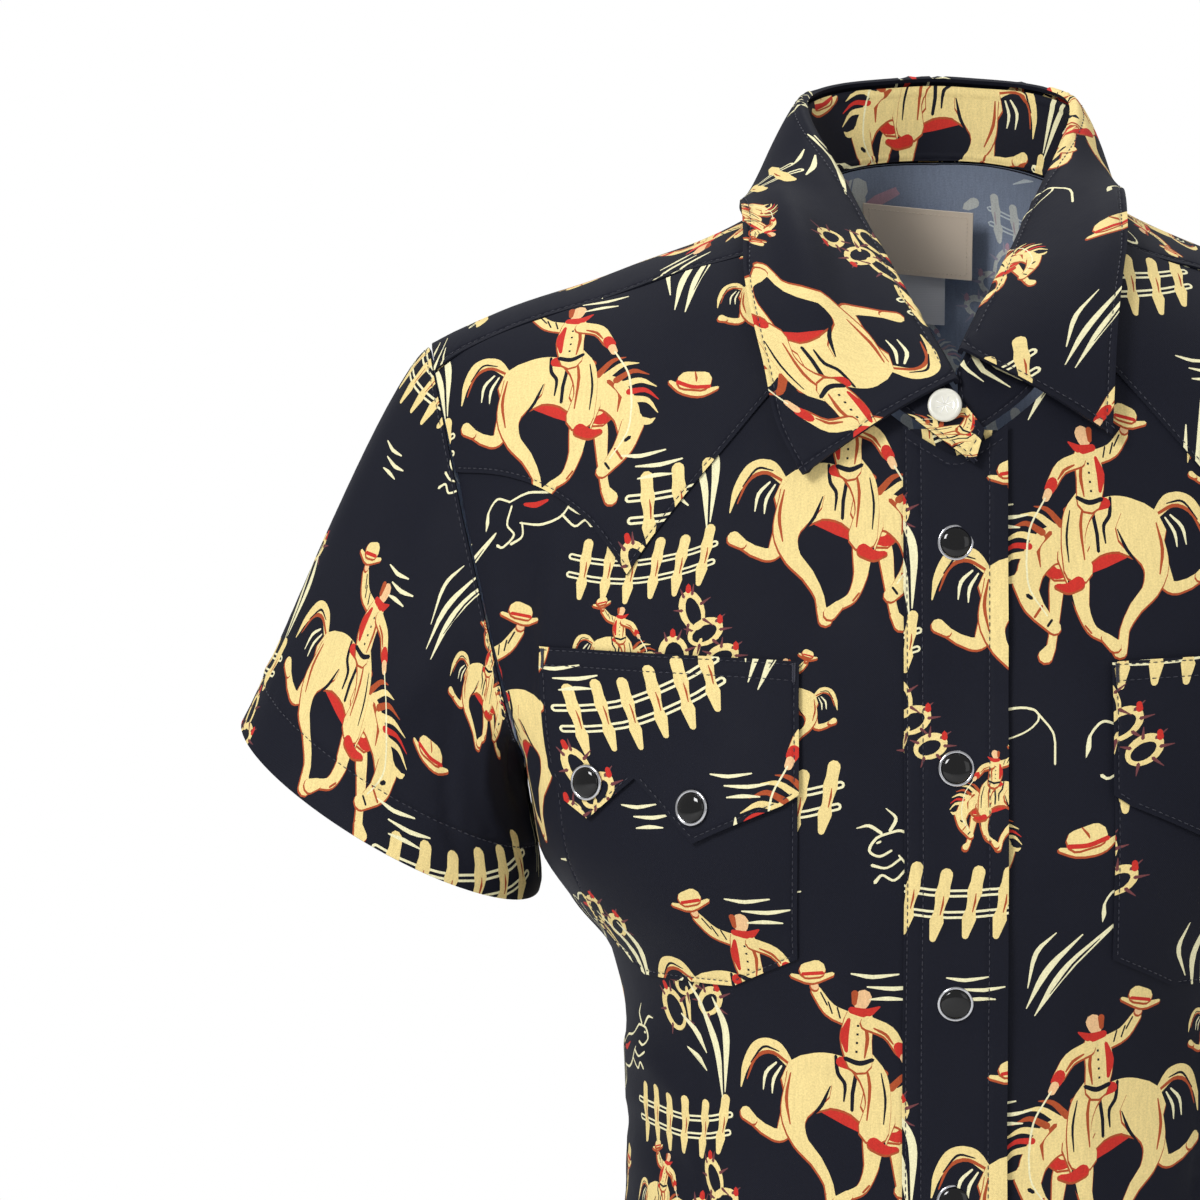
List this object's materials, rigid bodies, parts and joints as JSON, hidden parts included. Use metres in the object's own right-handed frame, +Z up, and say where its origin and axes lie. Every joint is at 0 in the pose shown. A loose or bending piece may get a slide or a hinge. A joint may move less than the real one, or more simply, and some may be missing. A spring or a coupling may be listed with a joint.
{
  "type": "western snap shirt",
  "caption": "Fitted short-sleeved western snap shirt of dark printed cotton, open at neck, hem and sleeves, with pointed yokes and flapped pockets.",
  "frame": {"origin": "middle of the neck, level with the points where the shoulder ridges reach the neck, where the wearer holds the shirt up", "axes": "+Z up; the front faces -Y; the wearer's right is at -X"},
  "size_m": [0.5056, 0.2508, 0.6824],
  "materials": {
    "printed_cotton": "smooth fine plain weave with a slight sheen, printed on the face",
    "snap_cap": "glossy dome in a bright metal ring",
    "button": "translucent off-white",
    "woven_label": "woven satin, bare",
    "care_tape": "smooth tape, bare"
  },
  "bodies": {
    "root": {"front_right": "printed_cotton", "front_left": "printed_cotton", "back": "printed_cotton", "yoke_front_right": "printed_cotton", "yoke_front_left": "printed_cotton", "yoke_back": "printed_cotton", "sleeve_right": "printed_cotton", "sleeve_left": "printed_cotton", "placket": "printed_cotton", "collar_stand": "printed_cotton", "collar_fall": "printed_cotton", "pocket_right": "printed_cotton", "pocket_left": "printed_cotton", "flap_right": "printed_cotton", "flap_left": "printed_cotton", "front_snap_1": "snap_cap", "front_snap_2": "snap_cap", "front_snap_3": "snap_cap", "front_snap_4": "snap_cap", "front_snap_5": "snap_cap", "front_snap_6": "snap_cap", "front_snap_7": "snap_cap", "flap_snap_right_1": "snap_cap", "flap_snap_right_2": "snap_cap", "flap_snap_left_1": "snap_cap", "flap_snap_left_2": "snap_cap", "neck_button": "button", "brand_label": "woven_label", "care_label": "care_tape"}
  },
  "joints": []
}
